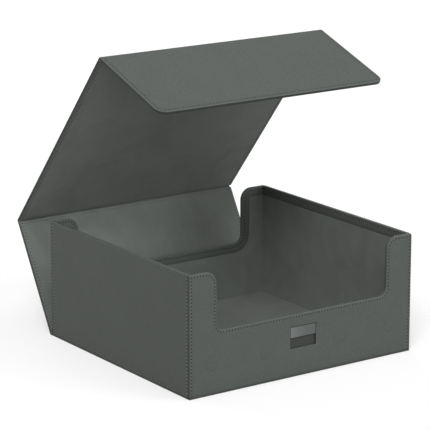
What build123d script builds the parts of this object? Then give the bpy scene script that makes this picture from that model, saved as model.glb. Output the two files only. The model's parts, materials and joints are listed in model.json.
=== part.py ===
from build123d import *

import os
from math import cos, radians, sin

# A flip case for collector cards: an open tray of leather-wrapped boards with a cut-out front
# and rear wall, and a cover of three boards that folds over it on leather creases.
# Millimetres. X runs across the front, Y to the back, Z up, from the middle of the underside.

# Tray
tray_width = 256.0
tray_depth = 238.0
tray_height = 116.3

# Sheets that every wall and panel is glued up from
skin_gauge = 0.6
lining_gauge = 0.6
wall_board_gauge = 2.0
floor_board_gauge = 2.0
cover_board_gauge = 2.0
hem_width = 9.0
edge_radius = 0.5
seam_radius = 0.4

# Cut-out in the front and the rear wall
post_width = 30.0
window_depth = 56.4
post_corner_radius = 12.0
window_corner_radius = 8.5

# Cover
cover_overhang = 0.4
closing_gap = 0.3
flap_lift = 14.3
flap_corner_radius = 10.0
crease_inner_radius = 0.7

# Magnets in the front wall and in the flap
magnet_diameter = 10.0
magnet_gauge = 1.4
magnet_fit = 0.1
magnet_edge_margin = 13.8
magnet_side_margin = 24.0
magnet_pitch = 60.5

# Sunk label well with a metal plate in its upper half
well_width = 30.0
well_height = 21.1
well_drop = 11.5
well_wall = 0.4
well_fit = 0.1
plate_height = 10.2
plate_gauge = 0.8
plate_sink = 0.4
plate_fit = 0.5
plate_chamfer = 0.15

# Opening of each fold from the closed case, in degrees, as the case stands in the photograph
base_opening = 30.0
rear_opening = 20.2
flap_opening = 20.2

# Layers of a tray wall, counted from its outer face
board_from = skin_gauge
board_to = board_from + wall_board_gauge
inner_layer = max(skin_gauge, lining_gauge)
wall_thickness = board_to + inner_layer
hem_depth = skin_gauge + hem_width

front_face = -tray_depth / 2
skin_half_width = tray_width / 2 - board_from
board_half_width = tray_width / 2 - board_to
board_half_depth = tray_depth / 2 - board_to
floor_top = skin_gauge + floor_board_gauge
lining_top = floor_top + lining_gauge

# Layers of a cover panel, counted from the middle of its skin, where the creases turn
panel_outer = -skin_gauge / 2
panel_board_from = skin_gauge / 2
panel_board_to = panel_board_from + cover_board_gauge
panel_inner = panel_board_to + lining_gauge
crease_reach = panel_inner + closing_gap
cover_half_width = tray_width / 2 + cover_overhang

# Lengths of the panels between creases, so that the closed cover lies closing_gap off the tray
# all round, and of the flap, whose closed edge stands flap_lift above the table
back_length = tray_height + crease_reach - skin_gauge / 2
top_length = tray_depth + 2 * crease_reach
flap_length = tray_height + crease_reach - flap_lift
window_sill = tray_height - window_depth

# Directions of the three panels in the side view, in degrees from +Y towards +Z
floor_angle = 0.0
back_angle = floor_angle + 90.0 - base_opening
top_angle = back_angle + 90.0 - rear_opening
flap_angle = top_angle + 90.0 - flap_opening

# Tolerance for picking corners and edges by their place
inside = 1e-3

# Most of a skin's gauge that the rounding of a seam may take
seam_share = 0.8


def along(start, angle, distance):
    """Point in the side view that lies a distance from start in a direction."""
    return (start[0] + distance * cos(radians(angle)), start[1] + distance * sin(radians(angle)))


base_axis = (tray_depth / 2 + crease_reach, skin_gauge / 2)
rear_axis = along(base_axis, back_angle, back_length)
flap_axis = along(rear_axis, top_angle, top_length)


def sheet(x, y, z):
    """Flat rectangular sheet between two limits on each axis."""
    size = (x[1] - x[0], y[1] - y[0], z[1] - z[0])
    centre = ((x[0] + x[1]) / 2, (y[0] + y[1]) / 2, (z[0] + z[1]) / 2)
    return Pos(*centre) * Box(*size)


def upright(face, y_low, y_high):
    """Front-view face stood up as a plate from y_low to y_high."""
    return Pos(0, y_high, 0) * Rot(90, 0, 0) * extrude(face, y_high - y_low)


def rectangle_at(x, z):
    """Rectangle in the front view between two limits on each axis."""
    return Pos((x[0] + x[1]) / 2, (z[0] + z[1]) / 2) * Rectangle(x[1] - x[0], z[1] - z[0])


def windowed_face(half_width, bottom, inset):
    """Front view of a wall with its cut-out; inset draws the top and the cut-out back into the wall."""
    top = tray_height - inset
    window = tray_width / 2 - post_width + inset
    sill = window_sill - inset
    face = make_face(
        Polyline(
            (-half_width, bottom),
            (half_width, bottom),
            (half_width, top),
            (window, top),
            (window, sill),
            (-window, sill),
            (-window, top),
            (-half_width, top),
            close=True,
        )
    )
    window_corners = [v for v in face.vertices() if abs(abs(v.X) - window) < inside and v.Y < top - inside]
    face = fillet(window_corners, window_corner_radius + inset)
    if post_corner_radius > inset:
        post_corners = [v for v in face.vertices() if abs(abs(v.X) - window) < inside and v.Y > top - inside]
        face = fillet(post_corners, post_corner_radius - inset)
    return face


# Walls with a cut-out: skin folded over the edge and hemmed inside, board, lining
def windowed_skin(bottom):
    outer = windowed_face(skin_half_width, bottom, 0)
    turned = outer - windowed_face(skin_half_width, bottom, skin_gauge)
    hem = windowed_face(board_half_width, bottom, skin_gauge) - windowed_face(board_half_width, bottom, hem_depth)
    skin = upright(outer, front_face, front_face + board_from)
    skin += upright(turned, front_face + board_from, front_face + board_to + skin_gauge)
    skin += upright(hem, front_face + board_to, front_face + board_to + skin_gauge)
    rim = [
        edge
        for edge in skin.edges()
        if abs(edge.center().Y - front_face) < inside
        and abs(edge.center().X) < skin_half_width - inside
        and edge.center().Z > bottom + inside
    ]
    return fillet(rim, edge_radius)


def windowed_board():
    face = windowed_face(board_half_width, skin_gauge, skin_gauge)
    return upright(face, front_face + board_from, front_face + board_to)


def windowed_lining():
    face = windowed_face(board_half_width - lining_gauge, lining_top, hem_depth)
    return upright(face, front_face + board_to, front_face + board_to + lining_gauge)


# Side walls: the skin is a long J folded over the top edge of the board
def side_skin():
    outer = -tray_width / 2
    profile = make_face(
        Polyline(
            (outer, 0),
            (outer, tray_height),
            (outer + board_to + skin_gauge, tray_height),
            (outer + board_to + skin_gauge, tray_height - hem_depth),
            (outer + board_to, tray_height - hem_depth),
            (outer + board_to, tray_height - skin_gauge),
            (outer + board_from, tray_height - skin_gauge),
            (outer + board_from, 0),
            close=True,
        )
    )
    folds = [v for v in profile.vertices() if v.Y > tray_height - inside]
    profile = fillet(folds, edge_radius)
    leaf = profile & rectangle_at((outer, outer + board_from), (0, tray_height))
    hook_half_depth = tray_depth / 2 - wall_thickness
    skin = upright(leaf, front_face, -front_face)
    skin += upright(profile, -hook_half_depth, hook_half_depth)
    corners = [
        edge
        for edge in skin.edges()
        if abs(abs(edge.center().Y) + front_face) < inside
        and abs(edge.center().X - outer) < inside
        and edge.length > tray_height / 2
    ]
    return fillet(corners, min(seam_radius, seam_share * skin_gauge))


def side_board():
    x = (-skin_half_width, -board_half_width)
    return sheet(x, (front_face + skin_gauge, -front_face - skin_gauge), (skin_gauge, tray_height - skin_gauge))


def side_lining():
    x = (-board_half_width, -board_half_width + lining_gauge)
    return sheet(x, (-board_half_depth, board_half_depth), (lining_top, tray_height - hem_depth))


# Floor: its skin runs on past the rear wall to the cover's crease
def floor_sheets():
    x = (-board_half_width, board_half_width)
    y = (-board_half_depth, board_half_depth)
    skin_x = (-skin_half_width, skin_half_width)
    skin_y = (front_face + skin_gauge, -front_face)
    return {
        "floor_skin": sheet(skin_x, skin_y, (0, skin_gauge)),
        "floor_board": sheet(x, y, (skin_gauge, floor_top)),
        "floor_lining": sheet(x, y, (floor_top, lining_top)),
    }


# Label well and plate, in the front wall
well_top = window_sill - well_drop
well_base = well_top - well_height
well_x = (-well_width / 2, well_width / 2)
well_floor = front_face + board_to - well_wall
plate_back = front_face + plate_sink + plate_gauge
plate_x = (well_x[0] + plate_fit, well_x[1] - plate_fit)
plate_z = (well_top - plate_fit - plate_height, well_top - plate_fit)


def grown(limits, amount):
    return (limits[0] - amount, limits[1] + amount)


def well_mouth():
    return rectangle_at(well_x, (well_base, well_top))


def label_well():
    shell = rectangle_at(grown(well_x, well_wall), grown((well_base, well_top), well_wall))
    well = upright(shell, front_face + board_from, front_face + board_to)
    well -= upright(well_mouth(), front_face + board_from, well_floor)
    ledge = rectangle_at(well_x, (plate_z[0], well_top))
    return well + upright(ledge, plate_back, well_floor)


def name_plate():
    plate = upright(rectangle_at(plate_x, plate_z), front_face + plate_sink, plate_back)
    return chamfer(plate.faces().sort_by(Axis.Y)[0].edges(), plate_chamfer)


def well_pocket():
    reach = well_wall + well_fit
    pocket = rectangle_at(grown(well_x, reach), grown((well_base, well_top), reach))
    return upright(pocket, front_face + board_from, front_face + board_to)


# Magnets: discs in blind pockets, front wall from outside, flap from its lining side
outer_column = tray_width / 2 - magnet_side_margin
magnet_columns = [side * x for x in (outer_column - magnet_pitch, outer_column) for side in (-1, 1)]
magnet_height = flap_lift + magnet_edge_margin
magnet_reach = flap_length - magnet_edge_margin


def discs(radius, depth, height):
    circles = [Pos(x, height) * Circle(radius) for x in magnet_columns]
    return [extrude(circle, depth) for circle in circles]


def front_discs(radius):
    stand = Pos(0, front_face + board_from + magnet_gauge, 0) * Rot(90, 0, 0)
    return [stand * disc for disc in discs(radius, magnet_gauge, magnet_height)]


def flap_discs(radius):
    sink = Pos(0, 0, panel_board_to - magnet_gauge)
    return [sink * disc for disc in discs(radius, magnet_gauge, magnet_reach)]


# Cover panels, flat in their own frame: X across, Y along from the crease, Z from the skin inwards
def panel_face(end, inset, free_end):
    half = cover_half_width - inset
    far = end - inset if free_end else end
    face = make_face(
        Polyline((-half, crease_reach), (half, crease_reach), (half, far), (-half, far), close=True)
    )
    if free_end:
        face = fillet(face.vertices().group_by(Axis.Y)[-1], flap_corner_radius - inset)
    return face


def layer(face, low, high):
    return Pos(0, 0, low) * extrude(face, high - low)


def panel_sheets(name, end, free_end):
    """Skin folded up round the edges, with the board and the lining inside it."""
    outline = panel_face(end, 0, free_end)
    filling = panel_face(end, skin_gauge, free_end)
    skin = layer(outline, panel_outer, panel_inner) - layer(filling, panel_board_from, panel_inner)
    rim = [
        edge
        for edge in skin.edges()
        if abs(edge.center().Z - panel_outer) < inside
        and abs(edge.center().Y - crease_reach) > inside
        and (free_end or abs(edge.center().Y - end) > inside)
    ]
    return {
        name + "_skin": fillet(rim, edge_radius),
        name + "_board": layer(filling, panel_board_from, panel_board_to),
        name + "_lining": layer(filling, panel_board_to, panel_inner),
    }


def placed(axis, angle, pieces):
    """Pieces of a panel turned up from flat and set on their crease."""
    return {name: Pos(0, *axis) * Rot(angle, 0, 0) * piece for name, piece in pieces.items()}


# Creases: skin and lining glued together, bent round the axis between two panels
def crease(axis, before, after):
    def side(offset, radius):
        half_turn = radians(after - before) / 2
        start = along(along(axis, before, -crease_reach), before + 90, offset)
        end = along(along(axis, after, crease_reach), after + 90, offset)
        bend = along(axis, (before + after) / 2 + 90, offset / cos(half_turn))
        return FilletPolyline(start, bend, end, radius=radius)

    low, high = panel_outer, panel_board_from + lining_gauge
    outer = side(low, crease_inner_radius + high - low)
    inner = side(high, crease_inner_radius)
    ends = [Line(outer @ 0, inner @ 0), Line(outer @ 1, inner @ 1)]
    profile = make_face([*outer.edges(), *inner.edges(), *ends])
    return Pos(-cover_half_width, 0, 0) * (Plane.YZ * extrude(profile, 2 * cover_half_width))


def tray_pieces():
    pieces = floor_sheets()
    front_board = windowed_board() - well_pocket()
    for pocket in front_discs(magnet_diameter / 2 + magnet_fit):
        front_board -= pocket
    pieces["front_wall_board"] = front_board
    front_skin = windowed_skin(0)
    pieces["front_wall_skin"] = front_skin - upright(well_mouth(), front_face, front_face + board_from)
    pieces["front_wall_lining"] = windowed_lining()
    pieces["front_magnets"] = Compound(children=front_discs(magnet_diameter / 2))
    pieces["label_well"] = label_well()
    pieces["name_plate"] = name_plate()
    pieces["rear_wall_board"] = mirror(windowed_board(), Plane.XZ)
    pieces["rear_wall_skin"] = mirror(windowed_skin(skin_gauge), Plane.XZ)
    pieces["rear_wall_lining"] = mirror(windowed_lining(), Plane.XZ)
    for name, piece in (("skin", side_skin()), ("board", side_board()), ("lining", side_lining())):
        pieces["left_wall_" + name] = piece
        pieces["right_wall_" + name] = mirror(piece, Plane.YZ)
    return pieces


def cover_pieces():
    back = panel_sheets("back_panel", back_length - crease_reach, False)
    top = panel_sheets("top_panel", top_length - crease_reach, False)
    flap = panel_sheets("flap", flap_length, True)
    for pocket in flap_discs(magnet_diameter / 2 + magnet_fit):
        flap["flap_board"] -= pocket
    flap["flap_magnets"] = Compound(children=flap_discs(magnet_diameter / 2))
    return {
        **placed(base_axis, back_angle, back),
        **placed(rear_axis, top_angle, top),
        **placed(flap_axis, flap_angle, flap),
        "base_crease": crease(base_axis, floor_angle, back_angle),
        "rear_crease": crease(rear_axis, back_angle, top_angle),
        "flap_crease": crease(flap_axis, top_angle, flap_angle),
    }


os.makedirs("parts", exist_ok=True)
for node, solid in {**tray_pieces(), **cover_pieces()}.items():
    export_step(solid, "parts/" + node + ".step")
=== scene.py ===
import json
import math

import bmesh
import bpy
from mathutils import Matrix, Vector
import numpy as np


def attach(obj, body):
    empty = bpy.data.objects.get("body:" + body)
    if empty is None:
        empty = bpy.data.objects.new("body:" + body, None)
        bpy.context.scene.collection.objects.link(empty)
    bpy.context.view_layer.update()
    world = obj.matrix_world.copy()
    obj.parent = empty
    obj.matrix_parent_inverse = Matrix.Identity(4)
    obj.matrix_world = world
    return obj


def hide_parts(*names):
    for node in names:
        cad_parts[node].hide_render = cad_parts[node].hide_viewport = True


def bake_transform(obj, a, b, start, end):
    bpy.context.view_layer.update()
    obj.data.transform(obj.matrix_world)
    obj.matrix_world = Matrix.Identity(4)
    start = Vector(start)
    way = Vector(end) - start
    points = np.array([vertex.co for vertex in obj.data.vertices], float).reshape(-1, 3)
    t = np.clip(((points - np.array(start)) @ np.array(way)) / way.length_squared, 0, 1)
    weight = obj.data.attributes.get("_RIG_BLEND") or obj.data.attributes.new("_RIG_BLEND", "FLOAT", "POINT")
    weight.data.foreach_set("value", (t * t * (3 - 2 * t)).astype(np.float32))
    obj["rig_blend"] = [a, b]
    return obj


# Looks of a flip case for cards: leather turned over its boards, suede linings, sewn rows and
# soft creases. Shapes are worked out in millimetres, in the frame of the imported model.

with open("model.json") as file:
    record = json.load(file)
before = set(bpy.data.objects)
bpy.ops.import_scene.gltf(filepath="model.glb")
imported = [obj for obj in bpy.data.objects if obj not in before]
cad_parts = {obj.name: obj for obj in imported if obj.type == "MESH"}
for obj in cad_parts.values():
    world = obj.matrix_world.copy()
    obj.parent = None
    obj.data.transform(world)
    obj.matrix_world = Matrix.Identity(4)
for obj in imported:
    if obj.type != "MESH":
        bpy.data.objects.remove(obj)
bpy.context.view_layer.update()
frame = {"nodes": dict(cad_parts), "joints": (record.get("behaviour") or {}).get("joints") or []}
MM = 0.001

# Sizes of the case, as the CAD has them
half_width = 128.0
half_depth = 119.0
height = 116.3
wall = 3.2
sheet_gauge = 0.6
hem_depth = 9.6
half_window = 98.0
window_sill = 59.9
post_radius = 12.0
window_radius = 8.5
well_half = 15.0
well_low = 27.3
well_high = 48.4
cover_half = 128.4
skin_middle = 0.3
crease_reach = 3.2
crease_radius = 0.7
flap_length = 105.2
flap_radius = 10.0
press_columns = (-102.6, -42.1, 42.1, 102.6)
press_height = 30.2

# Make-up of the leather and the suede
edge_roll = 0.7
inner_roll = 0.45
lining_roll = 0.35
mouth_roll = 0.45
corner_cut = 1.5
corner_lap = 0.4
front_seam = 2.3
rear_seam = 0.9
channel_half = 0.75
channel_floor = 0.5
channel_depth = 0.14
leather_gauge = 0.5
lining_gauge = 0.4
arc_steps = 10

# Sewing, with the distance of each row from its edge
stitch_pitch = 3.3
thread_half = 0.4
thread_height = 0.2
hole_radius = 0.85
small_hole = 0.6
back_hole = 0.5
window_row = 2.2
rim_row = 2.6
front_row = 2.5
side_row = 2.1
side_rear_row = 3.3
side_rim_row = 2.3
side_base_row = 3.7
hem_row = 3.4
cover_row = 3.2


# Materials
def new_material(name):
    """Material with its node tree, its surface shader and its object coordinates."""
    material = bpy.data.materials.new(name)
    material.use_nodes = True
    tree = material.node_tree
    surface = tree.nodes["Principled BSDF"]
    place = tree.nodes.new("ShaderNodeTexCoord").outputs["Object"]
    return material, tree, surface, place


def noise(tree, place, scale, detail=2.0, stretch=(1, 1, 1), distortion=0.0):
    """Noise over object coordinates in metres; scale is in blotches to the metre."""
    mapping = tree.nodes.new("ShaderNodeMapping")
    mapping.inputs["Scale"].default_value = stretch
    tree.links.new(place, mapping.inputs["Vector"])
    texture = tree.nodes.new("ShaderNodeTexNoise")
    texture.inputs["Scale"].default_value = scale
    texture.inputs["Detail"].default_value = detail
    texture.inputs["Distortion"].default_value = distortion
    tree.links.new(mapping.outputs["Vector"], texture.inputs["Vector"])
    return texture.outputs["Fac"]


def pebbles(tree, place, scale):
    """Rounded cells, high in their middles, for the grain of leather."""
    texture = tree.nodes.new("ShaderNodeTexVoronoi")
    texture.feature = "SMOOTH_F1"
    texture.inputs["Scale"].default_value = scale
    texture.inputs["Smoothness"].default_value = 0.6
    tree.links.new(place, texture.inputs["Vector"])
    return remapped(tree, texture.outputs["Distance"], (0.0, 0.7), (1.0, 0.0))


def remapped(tree, value, old, new):
    """Value carried over from one range to another, and held inside it."""
    node = tree.nodes.new("ShaderNodeMapRange")
    for socket, number in zip(("From Min", "From Max", "To Min", "To Max"), (*old, *new)):
        node.inputs[socket].default_value = number
    tree.links.new(value, node.inputs["Value"])
    return node.outputs["Result"]


def combined(tree, operation, first, second):
    """Result of a sum or a comparison of two values."""
    node = tree.nodes.new("ShaderNodeMath")
    node.operation = operation
    tree.links.new(first, node.inputs[0])
    tree.links.new(second, node.inputs[1])
    return node.outputs["Value"]


def total(tree, *values):
    """Sum of several values."""
    made = values[0]
    for value in values[1:]:
        made = combined(tree, "ADD", made, value)
    return made


def mixed(tree, share, under, over):
    """Colour that goes from one to the other with share; each is a colour or a socket."""
    node = tree.nodes.new("ShaderNodeMix")
    node.data_type = "RGBA"
    for socket, colour in ((node.inputs[6], under), (node.inputs[7], over)):
        if isinstance(colour, bpy.types.NodeSocket):
            tree.links.new(colour, socket)
        else:
            socket.default_value = (*colour, 1)
    tree.links.new(share, node.inputs["Factor"])
    return node.outputs[2]


def bumped(tree, surface, relief, strength, distance):
    """Gives a surface its relief, as high in metres as distance."""
    node = tree.nodes.new("ShaderNodeBump")
    node.inputs["Strength"].default_value = strength
    node.inputs["Distance"].default_value = distance
    tree.links.new(relief, node.inputs["Height"])
    tree.links.new(node.outputs["Normal"], surface.inputs["Normal"])


def scaled(colour, factor):
    """Colour made lighter or darker by a factor."""
    return tuple(channel * factor for channel in colour)


def toned(tree, share, colour, tones):
    """Colour that goes with share from its dark tone to its light one."""
    return mixed(tree, share, scaled(colour, tones[0]), scaled(colour, tones[1]))


def wear_and_light_value(tree):
    """Wear and painted light at a point: 1 is rubbed wear with painted highlight on a rolled edge, -1 is
    painted shade in a channel or a gap, and the dark of a cut edge.
    """
    node = tree.nodes.new("ShaderNodeAttribute")
    node.attribute_name = "worn"
    return node.outputs["Fac"]


# Cells, blotches and fibres to the metre
grain_scale = 720.0
pore_scale = 3800.0
cloud_scale = 42.0
nap_scale = 22.0
brush_scale = 160.0
fibre_scale = 2600.0
twist_scale = 2400.0
stroke_stretch = (60, 60, 9000)

# Dark and light tone of each material, and the tones of rubbed wear with painted highlight and of painted
# shade and dark cut edges, as factors of its colour
leather_tones = (0.82, 1.18)
suede_tones = (0.83, 1.17)
thread_tones = (0.75, 1.25)
metal_tones = (0.7, 1.4)
rub_and_highlight_tone = 1.55
shade_and_dark_edge_tone = 0.3
suede_shade_tone = 0.4

# Share of the light tone that the grain and the clouds of the leather bring
grain_share = 0.44
grain_spread = 0.24
cloud_shares = (0.02, 0.16)

# Heights in metres over which painted shade darkens the leather towards the table, as a contact shadow line
# and as a soft shade
contact_shadow_heights = (0.0006, 0.0026)
base_shade_heights = (0.0, 0.018)

# Heights of relief in metres
leather_relief = 0.0002
fibre_relief = 0.0001
stroke_relief = 0.00004
speck_relief = 0.00008
rough_spread = 0.06


def leather(name, colour, contrast):
    """Grained leather: rubbed light with painted highlight on its edges, dark on cut edges, and painted
    shade in its channels and gaps and towards the table.
    """
    material, tree, surface, place = new_material(name)
    grain = pebbles(tree, place, grain_scale)
    fine = noise(tree, place, pore_scale)
    clouds = noise(tree, place, cloud_scale, 3.0)
    worn = wear_and_light_value(tree)
    spread = grain_spread * contrast
    split = tree.nodes.new("ShaderNodeSeparateXYZ")
    tree.links.new(place, split.inputs["Vector"])
    tone = total(
        tree,
        remapped(tree, grain, (0, 1), (grain_share - spread, grain_share + spread)),
        remapped(tree, clouds, (0.3, 0.7), cloud_shares),
    )
    shade = toned(tree, tone, colour, leather_tones)
    # Rubbed wear and painted highlight on the rolled edges
    rub_and_highlight = remapped(tree, worn, (0, 1), (0, 0.8))
    shade = mixed(tree, rub_and_highlight, shade, scaled(colour, rub_and_highlight_tone))
    # Painted shade in channels and gaps, dark cut edges, and a painted contact shadow and shade towards the
    # table
    for shade_and_dark_edge in (
        remapped(tree, worn, (-1, 0), (0.9, 0)),
        remapped(tree, split.outputs["Z"], contact_shadow_heights, (0.75, 0)),
        remapped(tree, split.outputs["Z"], base_shade_heights, (0.1, 0)),
    ):
        shade = mixed(tree, shade_and_dark_edge, shade, scaled(colour, shade_and_dark_edge_tone))
    tree.links.new(shade, surface.inputs["Base Color"])
    rough = total(
        tree,
        remapped(tree, grain, (0, 1), (0.64, 0.52)),
        remapped(tree, fine, (0, 1), (-0.05, 0.05)),
    )
    tree.links.new(rough, surface.inputs["Roughness"])
    surface.inputs["Specular IOR Level"].default_value = 0.15
    relief = total(tree, grain, remapped(tree, fine, (0, 1), (0.0, 0.35)))
    bumped(tree, surface, relief, 0.5 * contrast, leather_relief)
    return material


def suede(name, colour):
    """Suede with a nap brushed here and there, and painted shade where it goes down into a gap."""
    material, tree, surface, place = new_material(name)
    nap = noise(tree, place, nap_scale, 4.0, distortion=1.2)
    brushed = noise(tree, place, brush_scale, 3.0, stretch=(1.0, 0.45, 0.45))
    fibre = noise(tree, place, fibre_scale, 3.0)
    tone = total(
        tree,
        remapped(tree, nap, (0.32, 0.68), (0.0, 0.5)),
        remapped(tree, brushed, (0.2, 0.8), (0.0, 0.25)),
        remapped(tree, fibre, (0.2, 0.8), (0.0, 0.25)),
    )
    shade = toned(tree, tone, colour, suede_tones)
    # Painted shade where the suede goes down into a gap
    shade_and_dark_edge = remapped(tree, wear_and_light_value(tree), (-1, 0), (0.8, 0))
    shade = mixed(tree, shade_and_dark_edge, shade, scaled(colour, suede_shade_tone))
    tree.links.new(shade, surface.inputs["Base Color"])
    tree.links.new(remapped(tree, fibre, (0, 1), (0.82, 0.98)), surface.inputs["Roughness"])
    surface.inputs["Specular IOR Level"].default_value = 0.12
    surface.inputs["Sheen Weight"].default_value = 0.08
    surface.inputs["Sheen Roughness"].default_value = 0.6
    bumped(tree, surface, fibre, 0.3, fibre_relief)
    return material


def thread(name, colour):
    """Twisted sewing thread."""
    material, tree, surface, place = new_material(name)
    twist = noise(tree, place, twist_scale, 1.0, stretch=(1, 1, 0.5))
    tree.links.new(toned(tree, twist, colour, thread_tones), surface.inputs["Base Color"])
    tree.links.new(remapped(tree, twist, (0, 1), (0.55, 0.75)), surface.inputs["Roughness"])
    bumped(tree, surface, twist, 0.4, fibre_relief)
    return material


def brushed_metal(name, colour, reflection_from, reflection_to):
    """Metal brushed along X, with a painted reflection that makes it brighter towards one end of its length
    in metres.
    """
    material, tree, surface, place = new_material(name)
    strokes = noise(tree, place, 1.0, 4.0, stretch=stroke_stretch)
    split = tree.nodes.new("ShaderNodeSeparateXYZ")
    tree.links.new(place, split.inputs["Vector"])
    tone = total(
        tree,
        remapped(tree, strokes, (0.25, 0.75), (0.0, 0.4)),
        # Painted reflection: lighter towards one end along X
        remapped(tree, split.outputs["X"], (reflection_from, reflection_to), (0.6, 0.0)),
    )
    tree.links.new(toned(tree, tone, colour, metal_tones), surface.inputs["Base Color"])
    tree.links.new(remapped(tree, strokes, (0, 1), (0.3, 0.46)), surface.inputs["Roughness"])
    surface.inputs["Metallic"].default_value = 1.0
    surface.inputs["Anisotropic"].default_value = 0.5
    bumped(tree, surface, strokes, 0.15, stroke_relief)
    return material


def speckled(name, colour, spread, scale, rough):
    """Plain stock with fine specks, for board, the painted shade of the seams, and moulded plastic."""
    material, tree, surface, place = new_material(name)
    specks = noise(tree, place, scale, 3.0)
    shade = toned(tree, specks, colour, (1 - spread, 1 + spread))
    tree.links.new(shade, surface.inputs["Base Color"])
    roughness = remapped(tree, specks, (0, 1), (rough - rough_spread, rough + rough_spread))
    tree.links.new(roughness, surface.inputs["Roughness"])
    surface.inputs["Specular IOR Level"].default_value = 0.2
    bumped(tree, surface, specks, 0.2, speck_relief)
    return material


skin = leather("grey_leather", (0.0785, 0.0875, 0.080), 1.0)
# Side walls: smoother grain, and a colour about 5% darker than the front's, painted shade of the less lit
# sides
smooth_shaded_skin = leather("smooth_grey_leather", (0.0752, 0.0828, 0.0760), 0.4)
lining = suede("grey_suede", (0.137, 0.1495, 0.137))
cover_thread = thread("cover_thread", (0.070, 0.077, 0.070))
front_thread = thread("front_thread", (0.088, 0.096, 0.088))
# Thread of the side walls, lighter than the front's: painted highlight of the thread catching the light
side_thread = thread("side_thread", (0.142, 0.155, 0.141))
lining_thread = thread("lining_thread", (0.121, 0.133, 0.121))
back_thread = thread("back_thread", (0.162, 0.175, 0.162))
# Near-black discs in the needle holes: painted shade inside the holes
needle_hole = speckled("needle_hole", (0.008, 0.008, 0.008), 0.3, 1500.0, 0.8)
# Near-black strip for the corner seams: painted shade
seam_glue = speckled("seam_glue", (0.036, 0.039, 0.036), 0.3, 900.0, 0.7)
plate_steel = brushed_metal("plate_steel", (0.135, 0.148, 0.146), -0.015, 0.004)
magnet_steel = brushed_metal("magnet_steel", (0.45, 0.45, 0.46), -0.11, 0.11)
well_stock = speckled("well_stock", (0.040, 0.043, 0.040), 0.25, 1800.0, 0.7)
grey_board = speckled("grey_board", (0.33, 0.32, 0.29), 0.18, 700.0, 0.85)


# Faces of the case: each places a point that is s across, t up and some depth under the surface
def front_out(s, t, depth):
    return (s, -half_depth + depth, t)


def rear_out(s, t, depth):
    return (-s, half_depth - depth, t)


def left_out(s, t, depth):
    return (-half_width + depth, -s, t)


def right_out(s, t, depth):
    return (half_width - depth, s, t)


def front_in(s, t, depth):
    return (-s, -half_depth + wall - depth, t)


def rear_in(s, t, depth):
    return (s, half_depth - wall + depth, t)


def left_in(s, t, depth):
    return (-half_width + wall - depth, s, t)


def right_in(s, t, depth):
    return (half_width - wall + depth, -s, t)


def floor_in(s, t, depth):
    return (s, t, wall - depth)


def floor_out(s, t, depth):
    return (s, -t, depth)


def heading(angle):
    """Direction in the side view of a panel that stands at an angle."""
    return Vector((0, math.cos(angle), math.sin(angle)))


def facing(angle):
    """Direction from such a panel's skin towards its lining."""
    return Vector((0, -math.sin(angle), math.cos(angle)))


class Panel:
    """Board of the cover, from the crease it hangs on to its end, with both its faces."""

    def __init__(self, axis, angle, end):
        self.axis = axis
        self.angle = angle
        self.end = end

    def at(self, x, along, inward):
        crease = Vector((x, 0, 0)) + self.axis
        return tuple(crease + heading(self.angle) * along + facing(self.angle) * inward)

    def outside(self, s, t, depth):
        return self.at(-s, t, depth - skin_middle)

    def inside(self, s, t, depth):
        return self.at(s, t, wall - skin_middle - depth)


# A fold lies flat at the upper end of its joint's range, so that end is its turn at rest
joints = {joint["name"]: joint for joint in frame["joints"]}
folds = [joints[name] for name in ("base_hinge", "rear_fold", "flap_fold")]
axes = [Vector(joint["pos_m"]) / MM for joint in folds]
turns = [math.radians(joint["range_deg"][1]) for joint in folds]
angles = [sum(turns[: count + 1]) for count in range(len(turns))]
back = Panel(axes[0], angles[0], (axes[1] - axes[0]).length - crease_reach)
top = Panel(axes[1], angles[1], (axes[2] - axes[1]).length - crease_reach)
flap = Panel(axes[2], angles[2], flap_length)


# Outlines: closed, anticlockwise as seen from their side, drawn in from the edge by an inset
least_cut = 0.02
least_radius = 0.05
nick_share = 0.3


def arc(centre, radius, start, end):
    """Points along an arc between two angles in degrees."""
    points = []
    for step in range(arc_steps + 1):
        angle = math.radians(start + (end - start) * step / arc_steps)
        points.append((centre[0] + radius * math.cos(angle), centre[1] + radius * math.sin(angle)))
    return points


def wall_outline(s, low, window, rows=None):
    """Outline of a tray wall between two limits across, plain or with its cut-out. Each point is
    labelled base, side, corner or rim. Past the rolled edge it keeps to the sewn rows, whose
    distances from the edges are given by side."""

    def outline(inset):
        extra = dict.fromkeys(("left", "right", "base", "rim", "sill"), 0.0)
        if rows and inset > edge_roll:
            extra = {side: distance - rows["window"] for side, distance in rows.items()}
        left, right = s[0] + inset + extra["left"], s[1] - inset - extra["right"]
        base, rim = low + inset + extra["base"], height - inset - extra["rim"]
        cut = max(corner_cut - inset, least_cut)
        nick = nick_share * cut
        path = [(right - cut, rim)]
        if window:
            sill, side = window_sill - inset - extra["sill"], half_window + inset
            post, inner = max(post_radius - inset, least_radius), window_radius + inset
            path += arc((side + post, rim - post), post, 90, 180)
            path += arc((side - inner, sill + inner), inner, 0, -90)
            path += arc((inner - side, sill + inner), inner, -90, -180)
            path += arc((-side - post, rim - post), post, 0, 90)
        path.append((left + cut, rim))
        points = [(left, base, "base"), (right, base, "base")]
        points += [(right, rim - cut, "side"), (right - nick, rim - nick, "corner")]
        points += [(*point, "rim") for point in path]
        return points + [(left + nick, rim - nick, "corner"), (left, rim - cut, "side")]

    return outline


def rectangle(s, t, kept=()):
    """Outline of a rectangle between two limits each way. Sides named in kept stay in place."""

    def outline(inset):
        low = t[0] if "low" in kept else t[0] + inset
        high = t[1] if "high" in kept else t[1] - inset
        left, right = s[0] + inset, s[1] - inset
        corners = [(left, low), (right, low), (right, high), (left, high)]
        return [(*corner, "edge") for corner in corners]

    return outline


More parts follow.
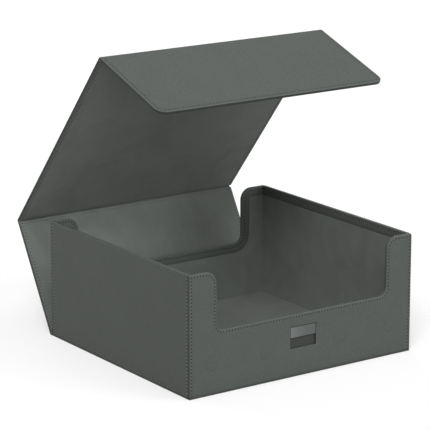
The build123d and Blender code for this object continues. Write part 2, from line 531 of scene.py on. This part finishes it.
def tongue(half, t, kept=()):
    """Outline of the flap, whose free end has rounded corners."""

    def outline(inset):
        low = t[0] if "low" in kept else t[0] + inset
        side, far, radius = half - inset, t[1] - inset, flap_radius - inset
        points = [(-side, low), (side, low)]
        points += arc((side - radius, far - radius), radius, 0, 90)
        points += arc((radius - side, far - radius), radius, 90, 180)
        return [(*point, "edge") for point in points]

    return outline


# Sections of edges: steps of inset, depth, and wear with painted light, from the hidden side to the flat
# middle
channel_lip = 0.04
channel_flat = 0.6
# Painted highlight on a channel's lip, painted shade in its floor and in gaps, rubbed wear with painted
# highlight on rolled walls, covers and mouths
lip_highlight = 0.1
channel_shade = -0.25
gap_shade = -0.6
wall_wear_and_highlight = 0.6
cover_wear_and_highlight = 0.7
mouth_wear_and_highlight = 0.5


def rolled(radius, wear_light_shade, steps=4):
    """Quarter round from the side of a sheet to its face, its wear and painted highlight strongest halfway
    round.
    """
    section = []
    for step in range(steps, -1, -1):
        angle = math.pi / 2 * step / steps
        inset, depth = radius * (1 - math.sin(angle)), radius * (1 - math.cos(angle))
        section.append((inset, depth, wear_light_shade * math.sin(2 * angle)))
    return section


def channel(row):
    """Shallow channel that a sewn row lies in, with flat leather before and after it, painted highlight on
    its lip and painted shade on its floor.
    """
    return [
        (row - channel_half - channel_lip, 0.0, lip_highlight),
        (row - channel_half, 0.0, lip_highlight),
        (row - channel_floor, channel_depth, channel_shade),
        (row + channel_floor, channel_depth, channel_shade),
        (row + channel_half, 0.0, 0.0),
        (row + channel_half + channel_flat, 0.0, 0.0),
    ]


def dropped(section, depth, wear_light_shade):
    """Section whose outer edge goes straight down to a depth, with the given wear and painted light there.
    """
    return [(section[0][0], depth, wear_light_shade), *section]


# Sheets
sharp_angle = math.radians(50)


def new_piece(name, builder, materials, body=None, replaced=(), gauge=0.0):
    """Object from a bmesh in millimetres, riding on a body of the frame. Its rounds are smooth and
    its open edges sharp, so that the gauge does not tilt the shading of the face."""
    bmesh.ops.scale(builder, vec=(MM, MM, MM), verts=builder.verts)
    mesh = bpy.data.meshes.new(name)
    builder.to_mesh(mesh)
    builder.free()
    mesh.shade_smooth()
    mesh.set_sharp_from_angle(angle=sharp_angle)
    uses = [0] * len(mesh.edges)
    for loop in mesh.loops:
        uses[loop.edge_index] += 1
    for edge in mesh.edges:
        if uses[edge.index] == 1:
            edge.use_edge_sharp = True
    for material in materials:
        mesh.materials.append(material)
    piece = bpy.data.objects.new(name, mesh)
    bpy.context.scene.collection.objects.link(piece)
    if gauge:
        solid = piece.modifiers.new("gauge", "SOLIDIFY")
        solid.thickness = gauge * MM
        solid.offset = -1.0
    if body:
        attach(piece, body)
    if replaced:
        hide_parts(*replaced)
    return piece


def new_builder():
    """Empty bmesh with the layer that holds each point's wear and painted light."""
    builder = bmesh.new()
    builder.verts.layers.float.new("worn")
    return builder


def new_ring(builder, positions, wear_light_shade):
    """Ring of points, all with the same wear and painted light."""
    layer = builder.verts.layers.float["worn"]
    ring = [builder.verts.new(position) for position in positions]
    for vert in ring:
        vert[layer] = wear_light_shade
    return ring


# Share of the rubbed wear and painted highlight that each kind of edge gets, negative for painted shade on
# upright sides and bases, and a rim's share where it stands upright
rub_and_light_shares = {"edge": 1.0, "rim": 1.0, "corner": 0.2, "side": -0.5, "base": -0.5}
upright_highlight_share = 0.25
least_run = 0.001


def outlined_ring(builder, place, points, depth, wear_light_shade):
    """Ring along labelled points. Edges and rims are rubbed light with painted highlight, a rim most where
    it is level and faces the light from above; upright sides and bases get painted shade.
    """
    layer = builder.verts.layers.float["worn"]
    ring = []
    for here, (s, t, label) in enumerate(points):
        share = rub_and_light_shares[label]
        if label == "rim":
            before, after = points[max(here - 1, 0)], points[min(here + 1, len(points) - 1)]
            run, rise = abs(after[0] - before[0]), abs(after[1] - before[1])
            share = upright_highlight_share + (1 - upright_highlight_share) * run / max(run + rise, least_run)
        vert = builder.verts.new(place(s, t, depth))
        vert[layer] = wear_light_shade * share if wear_light_shade > 0 else wear_light_shade
        ring.append(vert)
    return ring


def bridge(builder, outer, inner, closed=True, skipped=()):
    """Faces between two rings of points, but for the skipped sides."""
    count = len(outer)
    for here in range(count if closed else count - 1):
        if here not in skipped:
            after = (here + 1) % count
            builder.faces.new((outer[here], outer[after], inner[after], inner[here]))


def fill(builder, rings, outward):
    """Flat middle inside the first ring, round the others."""
    edges = []
    for ring in rings:
        for here, vert in enumerate(ring):
            pair = (vert, ring[(here + 1) % len(ring)])
            edges.append(builder.edges.get(pair) or builder.edges.new(pair))
    made = bmesh.ops.triangle_fill(builder, edges=edges, use_beauty=True, normal=outward)
    for face in made["geom"]:
        if isinstance(face, bmesh.types.BMFace):
            face.normal_update()
            if face.normal.dot(outward) < 0:
                face.normal_flip()


def outward_of(place):
    """Direction out of a face of the case."""
    return (Vector(place(0, 0, 0)) - Vector(place(0, 0, 1))).normalized()


def sheet(place, outline, section, open_sides=(), hole=None):
    """Sheet with a worked edge and a flat middle, and a rolled mouth round a hole, painted highlight on the
    mouth's roll and painted shade where it goes down.
    """
    builder = new_builder()
    rings = []
    for inset, depth, wear_light_shade in section:
        rings.append(outlined_ring(builder, place, outline(inset), depth, wear_light_shade))
    for outer, inner in zip(rings, rings[1:]):
        bridge(builder, outer, inner, True, open_sides)
    ends = [rings[-1]]
    if hole:
        mouth = []
        for inset, depth, wear_light_shade in dropped(rolled(mouth_roll, mouth_wear_and_highlight), sheet_gauge, gap_shade):
            mouth.append(outlined_ring(builder, place, hole(-inset), depth, wear_light_shade))
        for inner, outer in zip(mouth, mouth[1:]):
            bridge(builder, outer, inner)
        ends.append(mouth[-1])
    fill(builder, ends, outward_of(place))
    return builder, rings[0]


def turn_over(builder, edge, place, outline, section, limits):
    """Carries a sheet's rim over the board and down inside as a hem that ends at the limits."""
    labels = [label for _, _, label in outline(0)]
    corners = [here for here, label in enumerate(labels) if label == "corner"]
    rim = slice(corners[0], corners[-1] + 1)
    last = edge[rim]
    for (inset, depth, wear_light_shade), limit in zip(section, limits):
        points = [(max(-limit, min(limit, s)), t, "rim") for s, t, _ in outline(inset)[rim]]
        points[0] = (limit, *points[0][1:])
        points[-1] = (-limit, *points[-1][1:])
        ring = outlined_ring(builder, place, points, depth, wear_light_shade)
        bridge(builder, ring, last, False)
        last = ring


# Tray walls: leather turned over the rim into a hem, with a sunk seam at each upright corner
mid_roll = 0.29 * inner_roll
hem_flat = 0.5
hem_edge = 0.12
hem_sink = 0.45
wall_gap = 0.05
rim_lap = 0.8
# Third of each step: rubbed wear with painted light over the rim and down the hem, painted shade in the
# channel and where the hem ends in the gap
hem_section = [
    (0.0, wall / 2, 0.55),
    (0.0, wall - inner_roll, 0.6),
    (mid_roll, wall - mid_roll, 0.7),
    (inner_roll, wall, 0.4),
    (hem_row - channel_half, wall, 0.3),
    (hem_row - channel_floor, wall - channel_depth, channel_shade),
    (hem_row + channel_floor, wall - channel_depth, channel_shade),
    (hem_row + channel_half, wall, 0.0),
    (hem_depth - hem_flat, wall, 0.1),
    (hem_depth - hem_edge, wall - hem_edge, 0.3),
    (hem_depth, wall - hem_sink, gap_shade),
]


def hem_reach(over_rim, inside):
    """How far across each step of the hem goes, over the rim and down inside."""
    return [inside if depth > wall - sheet_gauge else over_rim for _, depth, _ in hem_section]


front_half = half_width - wall_gap
board_half = half_width - wall + sheet_gauge
side_hem_half = half_depth - wall
front_end, rear_end = half_depth - front_seam, half_depth - rear_seam
front_sides = (-front_half, front_half)
left_sides = (-rear_end, front_end)
right_sides = (-front_end, rear_end)
front_rows = {
    "window": window_row,
    "left": front_row,
    "right": front_row,
    "rim": rim_row,
    "sill": window_row,
    "base": window_row,
}
left_rows = {
    "window": side_row,
    "left": side_rear_row,
    "right": side_row,
    "rim": side_rim_row,
    "base": side_base_row,
}
right_rows = {**left_rows, "left": side_row, "right": side_rear_row}
mouth_outline = rectangle((-well_half, well_half), (well_low, well_high))
front_reach = hem_reach(half_width - rim_lap, board_half)
side_reach = hem_reach(side_hem_half + sheet_gauge - wall_gap, side_hem_half)
for name, place, sides, rows, reach, hole in (
    ("front_wall", front_out, front_sides, front_rows, front_reach, mouth_outline),
    ("rear_wall", rear_out, front_sides, front_rows, front_reach, None),
    ("left_wall", left_out, left_sides, left_rows, side_reach, None),
    ("right_wall", right_out, right_sides, right_rows, side_reach, None),
):
    window = rows is front_rows
    section = rolled(edge_roll, wall_wear_and_highlight) + channel(rows["window"])
    builder, edge = sheet(place, wall_outline(sides, 0.0, window, rows), section, (), hole)
    turn_over(builder, edge, place, wall_outline(sides, 0.0, window), hem_section, reach)
    # Side walls take the darker copy of the leather, with painted shade
    hide = skin if window else smooth_shaded_skin
    new_piece(name + "_leather", builder, [hide], "tray", [name + "_skin"], leather_gauge)

# Linings of the tray, and the leather of its underside
inner_half = half_width - wall
inner_depth = half_depth - wall
hem_low = height - hem_depth
lining_drop = 0.55
lining_flat = 1.5
# The suede's edge drops into the gap with painted shade
lining_section = [*dropped(rolled(lining_roll, 0.0), lining_drop, gap_shade), (lining_flat, 0.0, 0.0)]


def below_hem(inset):
    """Outline of a windowed wall's lining, which starts where the hem ends."""
    reach = inner_half + hem_depth + corner_lap
    return wall_outline((-reach, reach), wall - hem_depth - corner_lap, True)(hem_depth + inset)


lapped_half, lapped_depth = inner_half + corner_lap, inner_depth + corner_lap
side_lining = rectangle((-lapped_depth, lapped_depth), (wall - corner_lap, hem_low))
floor_lining = rectangle((-lapped_half, lapped_half), (-lapped_depth, lapped_depth))
for name, place, outline in (
    ("front_wall", front_in, below_hem),
    ("rear_wall", rear_in, below_hem),
    ("left_wall", left_in, side_lining),
    ("right_wall", right_in, side_lining),
    ("floor", floor_in, floor_lining),
):
    builder, _ = sheet(place, outline, lining_section)
    stood_for = [name + "_lining"]
    new_piece(name + "_suede", builder, [lining], "tray", stood_for, lining_gauge)
underside = rectangle((-front_half, front_half), (-half_depth, half_depth - sheet_gauge), ("low",))
builder, _ = sheet(floor_out, underside, lining_section, (0,))
new_piece("floor_leather", builder, [skin], "tray", ["floor_skin"], leather_gauge)

# Cover panels: leather wrapped round the dark edges of each board, suede set in between
tuck_inset = 1.5
tuck_drop = 0.35
lap_inset = 1.0
lap_drop = 0.03
band_gap = 0.15
edge_wear = -1.0
tuck_shade = -0.8
# Third of each step: painted shade where the leather tucks in and under its roll, the dark cut edge of the
# board, then rubbed wear with painted highlight on the rolled edge
wrapped_edge = [
    (tuck_inset, wall - tuck_drop, -0.5),
    (lap_inset, wall - lap_drop, 0.0),
    (inner_roll, wall, 0.2),
    (mid_roll, wall - mid_roll, 0.0),
    (0.0, wall - inner_roll, -0.7),
    (0.0, wall / 2, edge_wear),
    (0.0, edge_roll + band_gap, edge_wear),
]
cover_section = wrapped_edge + rolled(edge_roll, cover_wear_and_highlight)[1:] + channel(cover_row)
suede_inset = 0.95
suede_drop = 2.05
suede_over = 0.15
# The suede's edge goes down into the gap with painted shade
suede_edge = dropped(rolled(lining_roll, 0.0), suede_drop, tuck_shade)
suede_section = suede_edge + channel(cover_row - suede_inset)
suede_half = cover_half - suede_inset
for name, panel in (("back_panel", back), ("top_panel", top), ("flap", flap)):
    start, end = crease_reach, panel.end
    if panel is flap:
        outline = tongue(cover_half, (start, end), ("low",))
        inner = tongue(suede_half, (start - suede_over, end - suede_inset))
        fold_sides = (0,)
    else:
        outline = rectangle((-cover_half, cover_half), (start, end), ("low", "high"))
        inner = rectangle((-suede_half, suede_half), (start - suede_over, end + suede_over))
        fold_sides = (0, 2)
    builder, _ = sheet(panel.outside, outline, cover_section, fold_sides)
    new_piece(name + "_leather", builder, [skin], name, [name + "_skin"], leather_gauge)
    builder, _ = sheet(panel.inside, inner, suede_section)
    new_piece(name + "_suede", builder, [lining], name, [name + "_lining"], lining_gauge)


# Creases: a strip of leather outside and one of suede inside, bent round the axis of each fold
run_shares = (0.0, 0.35, 0.7)


def bend(axis, before, after, level, radius):
    """Points across a crease at one level of its thickness, each with its direction inwards."""
    half = (after - before) / 2
    arm = level + radius
    centre = axis + facing(before + half) * (arm / math.cos(half))
    cut = arm * math.tan(half)
    runs = [crease_reach + (cut - crease_reach) * share for share in run_shares]
    path = []
    for run in runs:
        path.append((axis - heading(before) * run + facing(before) * level, facing(before)))
    for step in range(arc_steps + 1):
        angle = before + (after - before) * step / arc_steps
        path.append((centre - facing(angle) * radius, facing(angle)))
    for run in runs[::-1]:
        path.append((axis + heading(after) * run + facing(after) * level, facing(after)))
    return path


def strip(path, half, section, side):
    """Strip right across the case along a bend, with the same worked edge at both its ends."""
    builder = new_builder()
    ends = [(inset - half, depth, wear_light_shade) for inset, depth, wear_light_shade in section]
    ends += [(-x, depth, wear_light_shade) for x, depth, wear_light_shade in ends[::-1]]
    lines = []
    for x, depth, wear_light_shade in ends:
        positions = [Vector((x, 0, 0)) + point + inward * (side * depth) for point, inward in path]
        lines.append(new_ring(builder, positions, wear_light_shade))
    for first, second in zip(lines, lines[1:]):
        bridge(builder, first, second, False)
    if side < 0:
        bmesh.ops.reverse_faces(builder, faces=builder.faces)
    return builder


blend_reach = 0.9
strip_drop = 1.0
strip_band = 0.1
strip_flat = 2.0
inner_drop = 0.45
# Third of each step: the dark cut edge, rubbed wear with painted highlight on the roll, and painted shade
# where the suede drops into the gap
strip_edge = [
    (0.0, strip_drop, edge_wear),
    (0.0, edge_roll + strip_band, edge_wear),
    *rolled(edge_roll, cover_wear_and_highlight)[1:],
    (strip_flat, 0.0, 0.0),
]
inner_edge = [*dropped(rolled(lining_roll, 0.0), inner_drop, gap_shade), (strip_flat, 0.0, 0.0)]
outer_radius = crease_radius + 2 * sheet_gauge
inner_level = skin_middle + sheet_gauge
for name, before, panel, bodies in (
    ("base_crease", 0.0, back, ("tray", "back_panel")),
    ("rear_crease", back.angle, top, ("back_panel", "top_panel")),
    ("flap_crease", top.angle, flap, ("top_panel", "flap")),
):
    chord = heading((before + panel.angle) / 2) * blend_reach
    start, end = (panel.axis - chord) * MM, (panel.axis + chord) * MM
    path = bend(panel.axis, before, panel.angle, -skin_middle, outer_radius)
    builder = strip(path, cover_half, strip_edge, 1)
    piece = new_piece(name + "_leather", builder, [skin], None, [name], leather_gauge)
    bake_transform(piece, *bodies, start=start, end=end)
    path = bend(panel.axis, before, panel.angle, inner_level, crease_radius)
    builder = strip(path, suede_half, inner_edge, -1)
    piece = new_piece(name + "_suede", builder, [lining], None, (), lining_gauge)
    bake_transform(piece, *bodies, start=start, end=end)


# Sewn rows
def spaced(points):
    """Points at the stitches' pitch along a path."""
    path = [Vector(point) for point in points]
    gaps = [(after - here).length for here, after in zip(path, path[1:])]
    count = max(2, round(sum(gaps) / stitch_pitch))
    step = sum(gaps) / count
    made, leg, passed = [], 0, 0.0
    for number in range(count + 1):
        while leg < len(gaps) - 1 and passed + gaps[leg] < number * step:
            passed += gaps[leg]
            leg += 1
        made.append(path[leg].lerp(path[leg + 1], (number * step - passed) / gaps[leg]))
    return made


# Share of the way between two holes, and height above the channel, of each ring of a stitch
stitch_shape = ((0.19, -0.2), (0.28, 0.0), (0.5, 0.05), (0.72, 0.0), (0.81, -0.2))
thread_sides = 6
hole_sides = 10
hole_lift = 0.02
hole_pit = 0.01


def circle(centre, first, second, radius, sides):
    """Points round a centre in the plane of two directions."""
    points = []
    for side in range(sides):
        turn = 2 * math.pi * side / sides
        points.append(centre + (first * math.cos(turn) + second * math.sin(turn)) * radius)
    return points


def add_stitch(builder, first, second, outward):
    """One stitch that arches from hole to hole."""
    across = (second - first).normalized().cross(outward)
    rings = []
    for share, lift in stitch_shape:
        centre = first.lerp(second, share) + outward * lift
        points = circle(centre, across * thread_half, outward * thread_height, 1.0, thread_sides)
        rings.append(new_ring(builder, points, 0.0))
    for here, after in zip(rings, rings[1:]):
        bridge(builder, here, after)
    builder.faces.new(rings[0][::-1])
    builder.faces.new(rings[-1])


def add_hole(builder, centre, outward, radius):
    """Mouth of a needle hole, a near-black disc that paints the shade inside the hole."""
    across = outward.orthogonal().normalized()
    rim = new_ring(builder, circle(centre, across, outward.cross(across), radius, hole_sides), 0.0)
    pit = new_ring(builder, [centre - outward * hole_pit], 0.0)[0]
    for here, vert in enumerate(rim):
        face = builder.faces.new((vert, rim[(here + 1) % hole_sides], pit))
        face.material_index = 1


def sew(name, body, place, paths, sewing, radius):
    """Rows of stitches along paths on one face, in one thread with one size of needle hole."""
    builder = new_builder()
    outward = outward_of(place)
    for path in paths:
        holes = [Vector(place(s, t, channel_depth)) for s, t in spaced(path)]
        for hole in holes:
            add_hole(builder, hole + outward * hole_lift, outward, radius)
        for first, second in zip(holes, holes[1:]):
            add_stitch(builder, first, second, outward)
    new_piece(name, builder, [sewing, needle_hole], body)


def rows_along(sides, rows, window):
    """Rows of a tray wall: up one side, along its rim, down the other, and along a plain base."""
    path = wall_outline(sides, 0.0, window, rows)(rows["window"])
    base = [(s, t) for s, t, label in path if label == "base"]
    rim = [(s, t) for s, t, label in path if label == "rim"]
    made = [[base[1], rim[0]], rim, [rim[-1], base[0]]]
    return made if window else made + [base]


hem_path = wall_outline((-board_half, board_half), 0.0, True)(hem_row)
front_hem_row = [(s, t) for s, t, label in hem_path if label == "rim"]
side_hem_row = [(side * (side_hem_half - hem_row), height - hem_row) for side in (-1, 1)]
for name, outside, inside, sides, rows, hem in (
    ("front", front_out, front_in, front_sides, front_rows, front_hem_row),
    ("rear", rear_out, rear_in, front_sides, front_rows, front_hem_row),
    ("left", left_out, left_in, left_sides, left_rows, side_hem_row),
    ("right", right_out, right_in, right_sides, right_rows, side_hem_row),
):
    window = rows is front_rows
    sewing = front_thread if window else side_thread
    paths = rows_along(sides, rows, window)
    sew(name + "_wall_stitches", "tray", outside, paths, sewing, hole_radius)
    sew(name + "_hem_stitches", "tray", inside, [hem], sewing, small_hole)
row_end = 2.0
row_side = cover_half - cover_row
for name, panel in (("back_panel", back), ("top_panel", top)):
    reach = (crease_reach + row_end, panel.end - row_end)
    rows = [[(side * row_side, reach[0]), (side * row_side, reach[1])] for side in (-1, 1)]
    sew(name + "_stitches", name, panel.outside, rows, cover_thread, hole_radius)
    sewing, radius = (back_thread, back_hole) if panel is back else (lining_thread, hole_radius)
    sew(name + "_lining_stitches", name, panel.inside, rows, sewing, radius)
flap_path = tongue(cover_half, (crease_reach + row_end, flap_length), ("low",))(cover_row)
flap_rows = [[(s, t) for s, t, _ in flap_path[1:] + flap_path[:1]]]
sew("flap_stitches", "flap", flap.outside, flap_rows, cover_thread, hole_radius)
sew("flap_lining_stitches", "flap", flap.inside, flap_rows, lining_thread, hole_radius)

# Sunk seams beside the upright corners: a near-black strip between the leather of two walls, painted shade
# in the seam. Each turns over the rim at its top, under the leather of both walls, and widens there to close
# the corner. Its path gives heights and extra depths.
seam_path = (
    (0.6, 0.0),
    (height - 1.0, 0.0),
    (height - 0.4, 0.2),
    (height - 0.25, 0.7),
    (height - 0.25, 2.5),
)
seam_turn = height - 0.5
for name, place, sides in (("left", left_out, left_sides), ("right", right_out, right_sides)):
    builder = new_builder()
    for side, inner in zip((-1, 1), sides):
        inner = abs(inner)
        # Place upright, place over the rim and depth of each line along the seam
        section = (
            (inner - 0.3, side_hem_half - 0.5, 0.9),
            (inner, side_hem_half + 0.2, 0.5),
            (half_depth - 0.9, half_depth - 0.9, 0.42),
            (half_depth - 0.5, half_depth - 0.5, 0.6),
        )
        lines = []
        for s_upright, s_top, depth in section:
            points = []
            for t, sunk in seam_path:
                s = s_top if t > seam_turn else s_upright
                points.append(place(side * s, t, depth + sunk))
            lines.append(new_ring(builder, points, 0.0))
        for first, second in zip(lines, lines[1:]):
            bridge(builder, first, second, False)
    bmesh.ops.recalc_face_normals(builder, faces=builder.faces)
    new_piece(name + "_wall_seams", builder, [seam_glue], "tray", (), lining_gauge)

# Faint rounds that the magnets press into the leather of the front
press_radius = 7.2
press_lift = 0.2
press_edge = 0.12
press_bed = 0.01
# Share of the radius and painted shade of each ring: the rings on the round's sloping edge are darkened as
# shade
press_rings = ((1.0, 0.0), (0.96, -0.35), (0.92, -0.2), (1 - press_edge, 0.0))
builder = new_builder()
for column in press_columns:
    rings = []
    for share, wear_light_shade in press_rings:
        level = press_lift * (1 - ((share - 1 + press_edge) / press_edge) ** 2)
        points = arc((column, press_height), press_radius * share, 0, 360)[:-1]
        places = [front_out(s, t, press_bed - level) for s, t in points]
        rings.append(new_ring(builder, places, wear_light_shade))
    for outer, inner in zip(rings, rings[1:]):
        bridge(builder, outer, inner)
    builder.faces.new(rings[-1])
new_piece("magnet_rounds", builder, [skin], "tray", ())

# Finishes of the nodes that keep their CAD shape
finishes = {
    "name_plate": plate_steel,
    "label_well": well_stock,
    "front_magnets": magnet_steel,
    "flap_magnets": magnet_steel,
}
for name, node in frame["nodes"].items():
    if name in finishes or name.endswith("_board"):
        node.data.materials.clear()
        node.data.materials.append(finishes.get(name, grey_board))


# Studio: white floor and surroundings, and soft lights from the front, both sides, above and behind
def seen_directly(tree):
    """1 for rays from the camera, in reflections and through glass; 0 for light on the object."""
    path = tree.nodes.new("ShaderNodeLightPath")
    share = combined(tree, "MAXIMUM", path.outputs["Is Camera Ray"], path.outputs["Is Glossy Ray"])
    return combined(tree, "MAXIMUM", share, path.outputs["Is Transmission Ray"])


ambient = 0.12
floor_glow = 0.4
floor_tone = 0.62
floor_size = 12.0
floor_drop = 0.0002
scene = bpy.context.scene
scene.view_settings.view_transform = "Standard"
world = bpy.data.worlds.new("studio")
world.use_nodes = True
scene.world = world
tree = world.node_tree
background = tree.nodes["Background"]
background.inputs["Color"].default_value = (1, 1, 1, 1)
strength = remapped(tree, seen_directly(tree), (0, 1), (ambient, 1.0))
tree.links.new(strength, background.inputs["Strength"])

bpy.ops.mesh.primitive_plane_add(size=floor_size, location=(0, 0, -floor_drop))
floor = bpy.context.object
floor.name = "studio_floor"
floor_white = bpy.data.materials.new("studio_white")
floor_white.use_nodes = True
tree = floor_white.node_tree
surface = tree.nodes["Principled BSDF"]
surface.inputs["Base Color"].default_value = (floor_tone, floor_tone, floor_tone, 1)
surface.inputs["Roughness"].default_value = 1.0
surface.inputs["Specular IOR Level"].default_value = 0.0
surface.inputs["Emission Color"].default_value = (1, 1, 1, 1)
glow = remapped(tree, seen_directly(tree), (0, 1), (0.0, floor_glow))
tree.links.new(glow, surface.inputs["Emission Strength"])
floor.data.materials.append(floor_white)


def direction(azimuth, elevation):
    """Direction from the case to a place round it, in degrees; 0, 0 is straight in front."""
    turn, rise = math.radians(azimuth), math.radians(elevation)
    level = math.cos(rise)
    return Vector((math.sin(turn) * level, -math.cos(turn) * level, math.sin(rise)))


def sun(name, level, softness, source):
    """Distant soft light. A matt white sheet square to it shines at the level."""
    lamp = bpy.data.lights.new(name, "SUN")
    lamp.energy = level * math.pi
    lamp.angle = math.radians(softness)
    holder = bpy.data.objects.new(name, lamp)
    holder.rotation_euler = source.to_track_quat("Z", "Y").to_euler()
    scene.collection.objects.link(holder)


# Level, softness, azimuth and elevation of each light, in degrees but for the level
lights = {
    "front": (0.12, 40, 0, 12),
    "key": (0.65, 30, -45, 38),
    "right": (0.34, 40, 40, 18),
    "overhead": (0.31, 60, 0, 85),
    "rear": (0.30, 60, 180, 20),
}
for name, (level, softness, azimuth, elevation) in lights.items():
    sun(name, level, softness, direction(azimuth, elevation))

# Camera of the photograph, for a square picture
sensor_width = 36.0
focal_length = 193.9
target = Vector((-0.01657, 0.0, 0.13059))
distance = 2.20575
camera_azimuth = -35.02
camera_elevation = 14.48
camera_data = bpy.data.cameras.new("camera")
camera_data.sensor_width = sensor_width
camera_data.lens = focal_length
camera = bpy.data.objects.new("camera", camera_data)
away = direction(camera_azimuth, camera_elevation)
camera.location = target + away * distance
camera.rotation_euler = away.to_track_quat("Z", "Y").to_euler()
scene.collection.objects.link(camera)
scene.camera = camera
